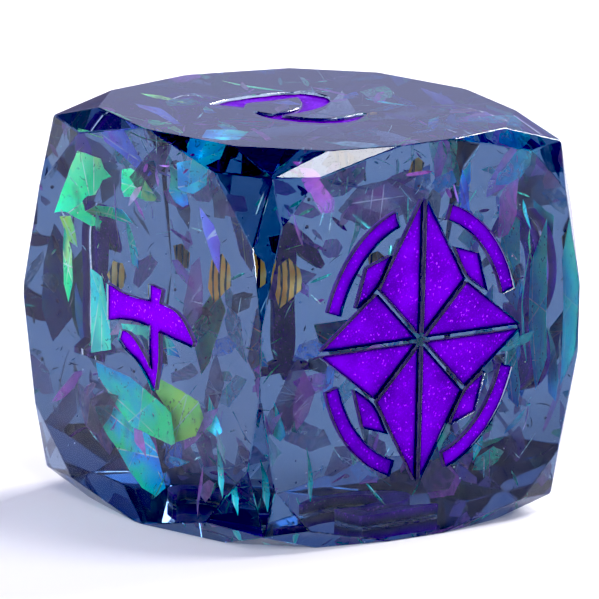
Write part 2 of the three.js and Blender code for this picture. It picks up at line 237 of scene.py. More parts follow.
# Colours along a film's drift from 0 to 1. Drift is set in each sheet's mesh.
FILM_RAMPS = {
    "green": [
        (0.00, (0.02, 0.16, 0.60)),
        (0.20, (0.0, 0.42, 0.85)),
        (0.38, (0.0, 0.80, 0.62)),
        (0.55, (0.0, 0.90, 0.30)),
        (0.72, (0.10, 0.95, 0.42)),
        (0.88, (0.42, 0.92, 0.30)),
        (1.00, (0.0, 0.55, 0.30)),
    ],
    "lime": [
        (0.00, (0.02, 0.75, 0.80)),
        (0.22, (0.05, 0.85, 0.55)),
        (0.42, (0.30, 0.95, 0.22)),
        (0.70, (0.52, 0.90, 0.12)),
        (1.00, (0.60, 0.62, 0.20)),
    ],
    "cyan": [
        (0.00, (0.03, 0.16, 0.60)),
        (0.25, (0.02, 0.42, 0.90)),
        (0.50, (0.02, 0.80, 0.85)),
        (0.75, (0.10, 0.95, 0.65)),
        (1.00, (0.04, 0.55, 0.50)),
    ],
    "blue": [
        (0.00, (0.03, 0.02, 0.22)),
        (0.18, (0.02, 0.10, 0.70)),
        (0.40, (0.0, 0.36, 1.0)),
        (0.58, (0.0, 0.75, 0.75)),
        (0.74, (0.0, 0.85, 0.25)),
        (0.86, (0.85, 0.62, 0.05)),
        (0.94, (0.05, 0.50, 0.25)),
        (1.00, (0.0, 0.20, 0.45)),
    ],
    "violet": [
        (0.00, (0.05, 0.02, 0.25)),
        (0.30, (0.16, 0.12, 0.80)),
        (0.55, (0.20, 0.30, 0.95)),
        (0.75, (0.30, 0.16, 0.75)),
        (1.00, (0.05, 0.50, 0.70)),
    ],
    "plum": [
        (0.00, (0.03, 0.03, 0.14)),
        (0.30, (0.14, 0.04, 0.30)),
        (0.55, (0.28, 0.07, 0.36)),
        (0.80, (0.10, 0.12, 0.40)),
        (1.00, (0.30, 0.12, 0.26)),
    ],
}
FILM_SOLIDITY = {
    "green": 1.0,
    "lime": 1.0,
    "cyan": 0.95,
    "blue": 0.95,
    "violet": 0.7,
    "plum": 0.45,
}
FOLD_STEPS = (0.07, 0.05)  # how far the colour jumps along its drift at the first two folds


def film_material(hue):
    """Iridescent film: colour drifts along the sheet and steps at its folds, with a pale highlight
    painted along them.
    """
    s = Shading("film_" + hue)
    drift = s.attribute("drift")["Fac"]
    first, second, third = s.node("SeparateXYZ", Vector=s.attribute("fold")["Vector"]).outputs
    wobble = s.between(s.noise(520, detail=4.0, distortion=0.7), 0.25, 0.75, -0.16, 0.16)
    first_step = s.math("MULTIPLY", s.math("SIGN", first), FOLD_STEPS[0])
    second_step = s.math("MULTIPLY", s.math("SIGN", second), FOLD_STEPS[1])
    step = s.math("ADD", first_step, second_step)
    colour = s.ramp(s.math("ADD", s.math("ADD", drift, wobble), step), FILM_RAMPS[hue])
    nearest = s.math("MINIMUM", s.math("ABSOLUTE", first), s.math("ABSOLUTE", second))
    nearest = s.math("MINIMUM", nearest, s.math("ABSOLUTE", third))
    broken = s.between(s.noise(900), 0.4, 0.6)
    # painted highlight: a pale line along the folds, broken in places
    painted_fold_highlight = s.math("MULTIPLY", s.between(nearest, 0.012, 0.04, 1.0, 0.0), broken)
    colour = s.blend(s.math("MULTIPLY", painted_fold_highlight, 0.7), colour, (0.80, 1.0, 0.97, 1))
    scratches = s.noise(3200, detail=2.0, roughness=0.4, distortion=1.5)
    dull = s.between(s.noise(1300, detail=3.0), 0.60, 0.75)
    colour = s.blend(s.math("MULTIPLY", dull, 0.3), colour, (0.01, 0.05, 0.14, 1))
    solid = FILM_SOLIDITY[hue]
    surface = s.node(
        "BsdfPrincipled",
        Base_Color=colour,
        Metallic=0.55,
        Roughness=s.between(scratches, 0.3, 0.7, 0.25, 0.5),
        Specular_IOR_Level=0.3,
        Alpha=s.between(s.noise(800, detail=4.0), 0.26, 0.40, 0.5 * solid, solid),
        Normal=s.bump(scratches, 0.00001, 0.7),
    )
    return s.finish(surface)


def shard_material(name, colours, thin, thick):
    """Film so thin that the resin behind shows through: its own tone, streaked and uneven."""
    s = Shading(name)
    drift = s.attribute("drift")["Fac"]
    streaks = s.noise(1100, detail=4.0, roughness=0.6, distortion=1.8)
    wobble = s.between(s.noise(600, detail=3.0, distortion=1.0), 0.3, 0.7, -0.15, 0.15)
    colour = s.ramp(s.math("ADD", drift, wobble), colours)
    surface = s.node(
        "BsdfPrincipled",
        Base_Color=colour,
        Metallic=0.25,
        Roughness=s.between(streaks, 0.3, 0.7, 0.3, 0.5),
        Alpha=s.between(streaks, 0.3, 0.7, thin, thick),
        Normal=s.bump(streaks, 0.00004, 0.8),
    )
    return s.finish(surface)


def speck_material(name, low, high, metallic, rough):
    """A small inclusion: two mottled tones."""
    s = Shading(name)
    surface = s.node(
        "BsdfPrincipled",
        Base_Color=s.ramp(s.noise(1500, detail=3.0), [(0.35, low), (0.65, high)]),
        Metallic=metallic,
        Roughness=s.between(s.noise(4000), 0.3, 0.7, rough, rough + 0.2),
    )
    return s.finish(surface)


FOIL_STRIPS = 2000  # per metre


def foil_material():
    """Gold leaf split into upright strips, with dark gaps between them."""
    s = Shading("gold_foil")
    place = s.node("SeparateXYZ", Vector=s.place())
    level = s.math("SUBTRACT", place.outputs[0], place.outputs[1])
    strips = s.math("FRACT", s.math("MULTIPLY", level, FOIL_STRIPS))
    ragged = s.math("ADD", strips, s.between(s.noise(1400, detail=4.0), 0.3, 0.7, -0.14, 0.14))
    blotch = s.noise(900, detail=4.0)
    golds = [(0.3, (1.0, 0.38, 0.02)), (0.5, (1.0, 0.55, 0.08)), (0.7, (1.0, 0.76, 0.28))]
    bright = s.ramp(blotch, golds)
    colour = s.blend(s.between(ragged, 0.66, 0.72), bright, (0.015, 0.010, 0.012, 1))
    crumple = s.noise(2200, detail=5.0, roughness=0.7)
    surface = s.node(
        "BsdfPrincipled",
        Base_Color=colour,
        Metallic=0.25,
        Roughness=s.between(crumple, 0.3, 0.7, 0.25, 0.45),
        Normal=s.bump(crumple, 0.00003, 0.8),
    )
    return s.finish(surface)


# ---- Reading the frame's meshes, in millimetres ----

FLUSH = 0.01  # a point this close to a main face's level lies on it


def cad_mesh(node):
    """A CAD node's corner points, merged, and its triangles."""
    index, points, merged = {}, [], []
    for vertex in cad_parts[node].data.vertices:
        point = vertex.co / MM
        key = tuple(round(value, 3) for value in point)
        if key not in index:
            index[key] = len(points)
            points.append(point)
        merged.append(index[key])
    triangles = []
    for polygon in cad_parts[node].data.polygons:
        corners = tuple(merged[i] for i in polygon.vertices)
        if len(set(corners)) == 3:
            triangles.append(corners)
    return points, triangles


class Face:
    """One of the die's six main faces: its own axes, its level and its engraved outlines."""

    def __init__(self, axis, side, points, triangles):
        self.out = Vector((0, 0, 0))
        self.out[axis] = side
        self.across = Vector((0, 0, 0))
        self.across[(axis + 1) % 3] = 1
        self.up = self.out.cross(self.across)
        self.level = max(self.out.dot(p) for p in points)
        on_face = [self.out.dot(p) > self.level - FLUSH for p in points]
        loops = boundary_loops([t for t in triangles if all(on_face[i] for i in t)])
        loops = [[self.flat(points[i]) for i in loop] for loop in loops]
        loops.sort(key=lambda loop: -abs(area(loop)))
        self.rims = [tidy_loop(loop[::-1]) for loop in loops[1:]]

    def flat(self, point):
        """A point's two coordinates in the face."""
        return Vector((self.across.dot(point), self.up.dot(point)))

    def solid(self, point, height):
        """The point in space for two coordinates in the face and a height over it."""
        return self.across * point.x + self.up * point.y + self.out * (self.level + height)


def boundary_loops(triangles):
    """The closed runs of edges that only one of the triangles has."""
    directed = {(t[i], t[(i + 1) % 3]) for t in triangles for i in range(3)}
    following = {a: b for a, b in directed if (b, a) not in directed}
    loops = []
    while following:
        start = min(following)
        loop, at = [], start
        while at in following:
            loop.append(at)
            at = following.pop(at)
        loops.append(loop)
    return loops


def area(loop):
    """The outline's area, below zero if it runs clockwise."""
    return sum(a.x * b.y - b.x * a.y for a, b in zip(loop, loop[1:] + loop[:1])) / 2


SHORTEST_SIDE = 0.07
ARC_STEP = 0.14
MOST_ARC_STEPS = 4
SHARP_CORNER = math.radians(38)
THINNEST_NOTCH = math.radians(155)


def bend_at(loop, i):
    """How far the outline turns at a corner."""
    arriving = loop[i] - loop[i - 1]
    return arriving.angle(loop[(i + 1) % len(loop)] - loop[i], 0)


def tidy_loop(loop):
    """An outline without its tiny sides, its gentle bends made round; sharp corners stay."""
    kept = []
    for point in loop:
        if not kept or (point - kept[-1]).length > SHORTEST_SIDE:
            kept.append(point)
    if (kept[0] - kept[-1]).length < SHORTEST_SIDE:
        kept.pop()
    kept = [p for i, p in enumerate(kept) if bend_at(kept, i) < THINNEST_NOTCH]
    count = len(kept)
    tangents = []
    for i, point in enumerate(kept):
        arriving = (point - kept[i - 1]).normalized()
        leaving = (kept[(i + 1) % count] - point).normalized()
        gentle = bend_at(kept, i) < SHARP_CORNER
        tangents.append((arriving + leaving).normalized() if gentle else None)
    smooth = []
    for i, point in enumerate(kept):
        after = kept[(i + 1) % count]
        side = after - point
        start, end = tangents[i], tangents[(i + 1) % count]
        steps = 1
        if start or end:
            steps = max(1, min(MOST_ARC_STEPS, round(side.length / ARC_STEP)))
        first = (start or side.normalized()) * side.length
        last = (end or side.normalized()) * side.length
        for step in range(steps):
            t = step / steps
            h = 2 * t**3 - 3 * t**2 + 1
            between = point * h + after * (1 - h)
            smooth.append(between + first * (t**3 - 2 * t**2 + t) + last * (t**3 - t**2))
    return smooth


def moved_out(loop, distance):
    """The outline moved to its right-hand side, which for an engraving is into the resin."""
    made = []
    for i, point in enumerate(loop):
        arriving = (point - loop[i - 1]).normalized()
        leaving = (loop[(i + 1) % len(loop)] - point).normalized()
        first = Vector((arriving.y, -arriving.x))
        both = first + Vector((leaving.y, -leaving.x))
        both = both.normalized() if both.length > 1e-6 else first
        made.append(point + both * (distance / max(both.dot(first), 0.5)))
    return made


def is_inside(point, loops):
    """True if the point lies within an odd number of the outlines."""
    crossings = 0
    for loop in loops:
        for a, b in zip(loop, loop[1:] + loop[:1]):
            if (a.y > point.y) != (b.y > point.y):
                crossings += point.x < a.x + (point.y - a.y) / (b.y - a.y) * (b.x - a.x)
    return crossings % 2 == 1


def filled(loops, extra=()):
    """Triangles that fill the outlines, as points and index triples that turn left."""
    points, edges = [], []
    for loop in loops:
        first = len(points)
        points += loop
        edges += [(first + i, first + (i + 1) % len(loop)) for i in range(len(loop))]
    points += list(extra)
    made, _, faces, _, _, _ = delaunay_2d_cdt(points, edges, [], 0, 1e-6)
    kept = []
    for face in faces:
        middle = sum((made[i] for i in face), Vector((0, 0))) / len(face)
        if is_inside(middle, loops):
            kept.append(face)
    return made, kept


SHARP_EDGE = math.radians(40)


def placed(bm, name, material, smooth=False):
    """The mesh, built in millimetres, as an object in metres."""
    bmesh.ops.scale(bm, vec=(MM, MM, MM), verts=bm.verts)
    mesh = bpy.data.meshes.new(name)
    bm.to_mesh(mesh)
    bm.free()
    if smooth:
        mesh.shade_smooth()
        mesh.set_sharp_from_angle(angle=SHARP_EDGE)
    mesh.materials.append(material)
    made = bpy.data.objects.new(name, mesh)
    bpy.context.scene.collection.objects.link(made)
    return made


def in_die(bm, name, material, smooth=False):
    """The mesh as an object that rides on the die."""
    made = placed(bm, name, material, smooth)
    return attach(made, "root")


# ---- The resin casting ----

EDGE_ROUNDING = 0.04
RIM_ROUNDING = 0.03
ENGRAVING_DEPTH = 0.5
COPLANAR = math.radians(0.4)
FACING = 0.999  # cosine between a main face's direction and its facet's
RIM_FROST = 0.25  # how frosted the rounded rims are, with the engraved walls and floors at 1
WELD = 0.0005


def polished_block(points):
    """The die's facets without its engravings, with every edge slightly rounded."""
    bm = bmesh.new()
    for point in points:
        bm.verts.new(point)
    hull = bmesh.ops.convex_hull(bm, input=bm.verts)
    spare = hull["geom_interior"] + hull["geom_unused"]
    spare = dict.fromkeys(v for v in spare if isinstance(v, bmesh.types.BMVert))
    bmesh.ops.delete(bm, geom=list(spare), context="VERTS")
    bmesh.ops.dissolve_limit(bm, angle_limit=COPLANAR, verts=bm.verts, edges=bm.edges)
    bmesh.ops.bevel(
        bm,
        geom=list(bm.edges),
        offset=EDGE_ROUNDING,
        segments=2,
        profile=0.5,
        affect="EDGES",
        clamp_overlap=True,
    )
    bmesh.ops.recalc_face_normals(bm, faces=bm.faces)
    return bm


def drop_loose(bm):
    """The mesh without points that no face uses, its faces turned outwards."""
    bmesh.ops.delete(bm, geom=[v for v in bm.verts if not v.link_faces], context="VERTS")
    bmesh.ops.recalc_face_normals(bm, faces=bm.faces)
    return bm


def main_facet(bm, out):
    """The largest facet that faces out."""
    facing = [facet for facet in bm.faces if facet.normal.dot(out) > FACING]
    return max(facing, key=lambda facet: facet.calc_area())


def build_casting(faces, points):
    """The resin as one closed mesh: facets, rims, and the walls and floors of the engravings."""
    bm = polished_block(points)
    engraved = bm.faces.layers.float.new("engraved")
    for face in faces:
        facet = main_facet(bm, face.out)
        outline = [face.flat(v.co) for v in facet.verts]
        bm.faces.remove(facet)
        rims = [moved_out(rim, RIM_ROUNDING) for rim in face.rims]
        made, triangles = filled([outline] + rims)
        corners = [bm.verts.new(face.solid(p, 0)) for p in made]
        for triangle in triangles:
            bm.faces.new([corners[i] for i in triangle])
        for rim, outer in zip(face.rims, rims):
            levels = [(outer, 0), (rim, -RIM_ROUNDING), (rim, -ENGRAVING_DEPTH)]
            rings = [[bm.verts.new(face.solid(p, z)) for p in loop] for loop, z in levels]
            for frost, upper, lower in zip((RIM_FROST, 1.0), rings, rings[1:]):
                for i in range(len(rim)):
                    j = (i + 1) % len(rim)
                    wall = bm.faces.new((upper[i], upper[j], lower[j], lower[i]))
                    wall[engraved] = frost
        made, triangles = filled(face.rims)
        corners = [bm.verts.new(face.solid(p, -ENGRAVING_DEPTH)) for p in made]
        for triangle in triangles:
            bm.faces.new([corners[i] for i in triangle])[engraved] = 1.0
    bmesh.ops.remove_doubles(bm, verts=bm.verts, dist=WELD)
    return drop_loose(bm)


resin_points, resin_triangles = cad_mesh("resin_body")
die_faces = [
    Face(axis, side, resin_points, resin_triangles) for axis in range(3) for side in (-1, 1)
]
casting = in_die(build_casting(die_faces, resin_points), "resin_casting", resin_material())
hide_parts("resin_body")

# ---- Paint ----

PAINT_OVERLAP = 0.012  # how far the paint reaches into the resin, so that no air shows between them
PAINT_GRID = (0.13, 0.1)  # how far apart the points are, and how far from the walls
PAINT_RINGS = (0.03, 0.07)  # extra rows of points along the walls
PAINT_SAG = 0.03
PAINT_WAVE = 0.02
PAINT_CLIMB = -0.07  # the level where paint ends on the walls
CLIMB_WIDTH = 0.032
# how far from the walls shade is painted on the paint
PAINTED_SHADE_WIDTH = CLIMB_WIDTH * 2.2


def outline_box(loop):
    """The outline's least x and y, then its greatest."""
    across, up = [p.x for p in loop], [p.y for p in loop]
    return [min(across), min(up), max(across), max(up)]


def paint_home(node):
    """The face that a paint node lies on, its engraved outlines there and the paint's level."""
    low, high = (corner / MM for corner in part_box(node))
    middle = (low + high) / 2
    face = min(die_faces, key=lambda f: abs(f.level - f.out.dot(middle)))
    wanted = outline_box([face.flat(low), face.flat(high)])
    top = max(face.out.dot(low), face.out.dot(high)) - face.level
    if node.startswith("numeral"):
        return face, face.rims, top

    def mismatch(rim):
        return sum(abs(x - y) for x, y in zip(outline_box(rim), wanted))

    return face, [min(face.rims, key=mismatch)], top


def distance_to(point, loops):
    """How far the point is from the nearest side of the outlines."""
    nearest = math.inf
    for loop in loops:
        for a, b in zip(loop, loop[1:] + loop[:1]):
            side = b - a
            t = (point - a).dot(side) / max(side.length_squared, 1e-9)
            nearest = min(nearest, (a + side * max(0.0, min(1.0, t)) - point).length)
    return nearest


def grid_inside(outlines, grid):
    """Points of a triangular grid within the outlines, by its spacing and its distance from them."""
    spacing, margin = grid
    x0, y0, x1, y1 = outline_box([p for loop in outlines for p in loop])
    found = []
    for row in range(int((y1 - y0) / spacing) + 1):
        for column in range(int((x1 - x0) / spacing) + 1):
            point = Vector((x0 + (column + row % 2 / 2) * spacing, y0 + row * spacing))
            if is_inside(point, outlines) and distance_to(point, outlines) > margin:
                found.append(point)
    return found


def closed_slab(points, triangles, upper_place, lower_place):
    """A closed mesh from a filled outline: an upper skin, a lower skin and the sides between them."""
    bm = bmesh.new()
    upper = [bm.verts.new(upper_place(p)) for p in points]
    lower = [bm.verts.new(lower_place(p)) for p in points]
    close_slab(bm, upper, lower, triangles)
    return bm


def close_slab(bm, upper, lower, triangles):
    """Faces for both skins and, along the edges that only one triangle has, the sides."""
    edges = {}
    for triangle in triangles:
        bm.faces.new([upper[i] for i in triangle])
        bm.faces.new([lower[i] for i in reversed(triangle)])
        edges.update(dict.fromkeys(zip(triangle, triangle[1:] + triangle[:1])))
    for i, j in edges:
        if (j, i) not in edges:
            bm.faces.new((upper[j], upper[i], lower[i], lower[j]))


def build_paint(node):
    """A pool of paint: back and sides just inside the resin, an uneven top that climbs the walls."""
    face, rims, top = paint_home(node)
    outlines = [moved_out(rim, PAINT_OVERLAP) for rim in rims]
    extra = grid_inside(outlines, PAINT_GRID)
    for ring in PAINT_RINGS:
        for rim in outlines:
            row = [p for p in moved_out(rim, -ring) if is_inside(p, outlines)]
            extra += [p for p in row if distance_to(p, outlines) > ring * 0.8]
    made, triangles = filled(outlines, extra)
    bottom = -ENGRAVING_DEPTH - PAINT_OVERLAP

    # falls off away from the walls: it shapes the paint's climb and the shade painted along the walls
    def climb(point, width):
        return math.exp(-distance_to(point, outlines) / width)

    def upper_place(point):
        wave = PAINT_WAVE * noise.noise(Vector((point.x * 1.7, point.y * 1.7, face.level)))
        rise = (PAINT_CLIMB - top) * climb(point, CLIMB_WIDTH)
        return face.solid(point, top - PAINT_SAG + wave + rise)

    bm = closed_slab(made, triangles, upper_place, lambda p: face.solid(p, bottom))
    # the shade painted along the walls, read by the paint material
    layer = bm.verts.layers.float.new("climb")
    bm.verts.ensure_lookup_table()
    for i, point in enumerate(made):
        bm.verts[i][layer] = climb(point, PAINTED_SHADE_WIDTH)
    return drop_loose(bm)


violet_paint = paint_material()
paint_nodes = [name for name in sorted(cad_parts) if name.endswith("_paint")]
for node in paint_nodes:
    piece = in_die(build_paint(node), node.replace("_paint", "_enamel"), violet_paint)
    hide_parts(node)

# ---- Film and foil ----

FILM_THICKNESS = 0.02
FILM_FOLD = 0.07  # the steepest fold, as a slope
FILM_WAVE = 0.012
SHEET_GRID = (0.3, 0.12)
SCRAP_SHARE = 0.95  # of a CAD scrap's sides
ASLANT = 0.16  # colour drift across a sheet
TEAR_STEP = 0.22
TEAR = 0.016

# The flakes that show most: how far the long side is turned from level in degrees, the colour drift
# at its two ends, and the torn outline in millimetres along and across it, about the scrap's middle.
SHAPED_FLAKES = {
    "film_green_01": (75, (0.5, 0.85), [
        (1.3, -1.0), (1.7, 0.6), (1.4, 0.9), (1.3, 1.45), (0.9, 0.9), (0.1, 0.6),
        (-0.2, 0.1), (-0.5, -0.1), (-0.8, 0.2), (-0.7, 1.4), (-0.9, 1.3), (-1.2, 0.8),
        (-1.35, -0.9), (-1.65, -1.45), (-0.85, -1.4), (0.5, -1.2),
    ]),
    "film_lime_02": (125, (0.4, 0.7), [
        (0.8, -0.4), (0.5, 0.35), (0.05, 0.35), (-0.8, 0.15), (-0.3, -0.3), (0.15, -0.35),
    ]),
    "film_green_03": (3, (0.6, 1.0), [
        (-1.1, -0.5), (-0.6, -0.6), (0.0, -0.4), (0.6, 0.0), (1.2, 0.35), (1.1, 0.5),
        (0.4, 0.6), (-0.2, 0.5), (-1.0, 0.6), (-1.2, 0.3),
    ]),
    "film_violet_04": (162, (0.25, 0.75), [
        (2.0, -0.25), (0.75, 0.5), (0.1, 0.3), (-0.9, 0.0), (-2.0, -0.2),
        (-1.85, -0.4), (-0.7, -0.5), (0.2, -0.45), (1.5, -0.5),
    ]),
    "film_cyan_05": (90, (0.2, 0.8), [
        (0.75, -0.6), (0.7, -0.2), (0.35, 0.35), (-0.6, 0.6),
        (-0.75, 0.3), (-0.65, -0.15), (-0.25, -0.6), (0.3, -0.55),
    ]),
    "film_cyan_06": (97, (0.85, 0.6), [
        (1.7, -0.5), (1.4, 0.3), (-0.3, 0.6), (-1.5, 0.65), (-1.7, -0.65), (0.05, -0.6),
    ]),
    "film_cyan_07": (2, (0.6, 0.85), [
        (-1.1, -0.15), (1.1, -0.35), (1.1, 0.35), (0.45, 0.1), (-1.05, 0.3),
    ]),
    "film_green_08": (162, (0.62, 0.2), [
        (2.9, 0.4), (0.7, 0.9), (-1.2, 0.95), (-2.2, 0.9), (-2.9, -0.1),
        (-2.7, -0.3), (0.0, -0.95), (1.4, -0.6), (2.6, -0.1),
    ]),
    "film_lime_09": (170, (0.85, 0.45), [
        (1.6, 1.1), (-1.1, 1.1), (-1.6, 0.6), (-1.3, -0.3),
        (0.05, -1.1), (0.55, -0.8), (0.95, 0.1), (1.6, 0.45),
    ]),
    "film_cyan_10": (120, (0.5, 0.8), [
        (0.8, 0.45), (-0.75, 0.45), (-0.8, 0.05), (-0.3, -0.45),
    ]),
    "film_blue_11": (146, (0.66, 0.42), [
        (2.7, -0.7), (2.0, 0.1), (1.1, 0.4), (-0.1, 0.95), (-1.0, 0.9), (-1.9, 0.5),
        (-2.7, 0.1), (-2.5, -0.6), (-1.6, -1.0), (-0.5, -1.05), (0.5, -1.0),
        (1.5, -1.05), (2.3, -0.95),
    ]),
    "film_cyan_13": (129, (0.4, 0.7), [
        (0.6, -0.05), (0.15, 0.3), (-0.6, 0.3), (-0.15, -0.3),
    ]),
}


def scrap_axes(out, spin):
    """Directions along and across a sheet facing out, its long side turned from level by spin."""
    level = Vector((0, 0, 1)).cross(out).normalized()
    down = level.cross(out)
    turn = math.radians(spin)
    along = level * math.cos(turn) - down * math.sin(turn)
    return along, down * math.cos(turn) + level * math.sin(turn)


class Sheet:
    """Where a sheet lies: its middle, its directions, its half sizes and its curl."""

    def __init__(self, centre, out, spin, half_long, half_wide, curl):
        self.centre, self.out, self.curl = centre, out, curl
        self.along, self.across = scrap_axes(out, spin)
        self.half_long, self.half_wide = half_long, half_wide

    def rise(self, x, y):
        """How far the curled sheet stands out at a place on it."""
        c = self.curl
        return c[0] + c[1] * x + c[2] * y + c[3] * x * x + c[4] * x * y + c[5] * y * y


def cad_sheet(node, spin=None):
    """The sheet that a CAD scrap stands for. Without a given spin its own long side is used."""
    points, _ = cad_mesh(node)
    low, high = (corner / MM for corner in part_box(node))
    centre = (low + high) / 2
    table = np.array([list(p) for p in points])
    _, _, axes = np.linalg.svd(table - table.mean(0), full_matrices=False)
    out = Vector(axes[2])
    if out.dot(centre - die_centre / MM) < 0:
        out = -out
    if spin is None:
        level, down = scrap_axes(out, 0)
        spin = math.degrees(math.atan2(-Vector(axes[0]).dot(down), Vector(axes[0]).dot(level)))
    along, across = scrap_axes(out, spin)
    u, v, w = (np.array([(p - centre).dot(axis) for p in points]) for axis in (along, across, out))
    terms = np.stack([np.ones_like(u), u, v, u * u, u * v, v * v], 1)
    curl = [float(c) for c in np.linalg.lstsq(terms, w, rcond=None)[0]]
    return Sheet(centre, out, spin, float(np.ptp(u)) / 2, float(np.ptp(v)) / 2, curl)


def torn_outline(rng, half_long, half_wide):
    """A shard's corners, counterclockwise, with a point at each end."""
    corners = [
        (-1, rng.uniform(-0.6, 0.6)),
        (rng.uniform(-0.75, -0.25), -rng.uniform(0.7, 1)),
        (rng.uniform(0.15, 0.7), -rng.uniform(0.55, 1)),
        (1, rng.uniform(-0.7, 0.7)),
        (rng.uniform(0.2, 0.6), rng.uniform(0.5, 1)),
        (rng.uniform(-0.7, -0.2), rng.uniform(0.6, 1)),
    ]
    return [(x * half_long, y * half_wide) for x, y in corners]


def torn_sides(corners, rng):
    """The corners joined by sides with fine tears."""
    points = [Vector(corner) for corner in corners]
    if area(points) < 0:
        points.reverse()
    made = []
    for a, b in zip(points, points[1:] + points[:1]):
        steps = max(1, round((b - a).length / TEAR_STEP))
        normal = Vector((b.y - a.y, a.x - b.x)).normalized()
        for i in range(steps):
            jag = rng.uniform(-TEAR, TEAR) if i else 0
            made.append(a.lerp(b, i / steps) + normal * jag)
    return made


def build_scrap(sheet, seed, corners=None, drift=None, thickness=FILM_THICKNESS, fold=FILM_FOLD):
    """A torn sheet with a few sharp folds. Its outline and colour drift are random unless given."""
    rng = random.Random(seed)
    if corners:
        half_long, half_wide = max(x for x, _ in corners), max(y for _, y in corners)
    else:
        half_long, half_wide = sheet.half_long * SCRAP_SHARE, sheet.half_wide * SCRAP_SHARE
        corners = torn_outline(rng, half_long, half_wide)
    starts, ends = drift or (rng.uniform(0.15, 0.5), rng.uniform(0.5, 0.9))
    outline = torn_sides(corners, rng)
    made, triangles = filled([outline], grid_inside([outline], SHEET_GRID))
    folds = []
    for _ in range(3):
        turn = rng.uniform(0, math.pi)
        folds.append((
            Vector((math.cos(turn), math.sin(turn))),
            rng.uniform(-0.5, 0.5) * half_wide,
            rng.uniform(-fold, fold),
        ))

    def creases(p):
        return [p.dot(direction) - offset for direction, offset, _ in folds]

    def height(p):
        bent = sum(slope * abs(d) for d, (_, _, slope) in zip(creases(p), folds))
        wave = FILM_WAVE * noise.noise(Vector((p.x * 1.3, p.y * 1.3, seed * 3.1)))
        return sheet.rise(p.x, p.y) + bent + wave

    def slope(p, step):
        return (height(p + step) - height(p - step)) / (2 * step.length)

    def place(p, side):
        slopes = slope(p, Vector((0.01, 0))), slope(p, Vector((0, 0.01)))
        normal = Vector((-slopes[0], -slopes[1], 1)).normalized() * side * thickness / 2
        x, y, z = p.x + normal.x, p.y + normal.y, height(p) + normal.z
        return sheet.centre + sheet.along * x + sheet.across * y + sheet.out * z

    bm = closed_slab(made, triangles, lambda p: place(p, 1), lambda p: place(p, -1))
    drift_layer = bm.verts.layers.float.new("drift")
    fold_layer = bm.verts.layers.float_vector.new("fold")
    bm.verts.ensure_lookup_table()
    count = len(made)
    for i, vertex in enumerate(bm.verts):
        p = made[i % count]
        share = 0.5 + 0.5 * p.x / half_long
        vertex[drift_layer] = starts + (ends - starts) * share - ASLANT * p.y / half_wide
        vertex[fold_layer] = Vector(creases(p))
    return drop_loose(bm)


film_materials = {hue: film_material(hue) for hue in FILM_RAMPS}
film_nodes = [name for name in sorted(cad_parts) if name.startswith("film_")]
for node in film_nodes:
    hue, number = node.split("_")[1:]
    spin, drift, corners = SHAPED_FLAKES.get(node, (None, None, None))
    bm = build_scrap(cad_sheet(node, spin), int(number), corners, drift)
    piece = in_die(bm, node.replace("film", "flake"), film_materials[hue], smooth=True)
    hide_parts(node)

SKIN = 0.012  # how thick the thinnest film is
LEAF_FOLD = 0.03
LEAF_CURL = (0, 0, 0, 0.01, 0, -0.03)
FIRST_LEAF_SEED = 70

# Thinner leaves of the same film that lie close under the faces: hue, middle, the direction they
# face (azimuth and elevation, with +X at 0), spin, half sizes and colour drift.
LEAVES = [
    ("cyan", (7.15, -4.9, 8.3), (2, 0), 87, 3.7, 1.1, (0.35, 0.6)),
    ("cyan", (7.2, -1.6, 9.9), (2, 3), 84, 2.3, 1.5, (0.25, 0.65)),
    ("blue", (7.1, 0.9, 6.2), (-4, -3), 98, 2.6, 1.3, (0.25, 0.5)),
    ("cyan", (7.0, -2.6, 5.4), (3, 0), 70, 1.7, 0.9, (0.3, 0.7)),
    ("violet", (7.1, 2.6, 10.6), (-3, 2), 60, 1.7, 1.0, (0.2, 0.7)),
    ("plum", (-2.0, -6.6, 13.5), (-88, 4), 12, 1.7, 0.9, (0.2, 0.7)),
    ("plum", (-5.2, -6.4, 6.0), (-94, -3), 82, 1.3, 0.6, (0.3, 0.6)),
    ("blue", (2.6, -6.5, 13.2), (-92, 2), 96, 1.4, 0.28, (0.1, 0.4)),
    ("cyan", (-4.2, 3.0, 10.6), (176, 4), 115, 1.15, 0.3, (0.4, 0.8)),
    ("violet", (-6.7, -3.8, 12.2), (186, 5), 120, 1.5, 0.5, (0.2, 0.6)),
    ("plum", (-6.6, -2.6, 9.6), (177, 0), 80, 1.8, 0.7, (0.3, 0.8)),
    ("green", (-6.9, 5.6, 9.4), (181, 2), 95, 1.6, 0.35, (0.5, 0.9)),
]
for i, (hue, centre, facing, spin, half_long, half_wide, drift) in enumerate(LEAVES):
    a, e = (math.radians(angle) for angle in facing)
    out = Vector((math.cos(a) * math.cos(e), math.sin(a) * math.cos(e), math.sin(e)))
    sheet = Sheet(Vector(centre), out, spin, half_long, half_wide, LEAF_CURL)
    seed = FIRST_LEAF_SEED + i
    bm = build_scrap(sheet, seed, drift=drift, thickness=SKIN, fold=LEAF_FOLD)
    in_die(bm, f"leaf_{hue}_{i + 1:02}", film_materials[hue], smooth=True)

FOIL_FOLD = 0.12
FIRST_FOIL_SEED = 50
gold = foil_material()
foil_nodes = [name for name in sorted(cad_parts) if name.startswith("gold_foil")]
for node in foil_nodes:
    seed = FIRST_FOIL_SEED + int(node[-2:])
    bm = build_scrap(cad_sheet(node), seed, drift=(0.0, 1.0), fold=FOIL_FOLD)
    piece = in_die(bm, node.replace("gold_foil", "gold_leaf"), gold, smooth=True)
    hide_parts(node)

# ---- Shards, slivers, threads and specks in the resin ----

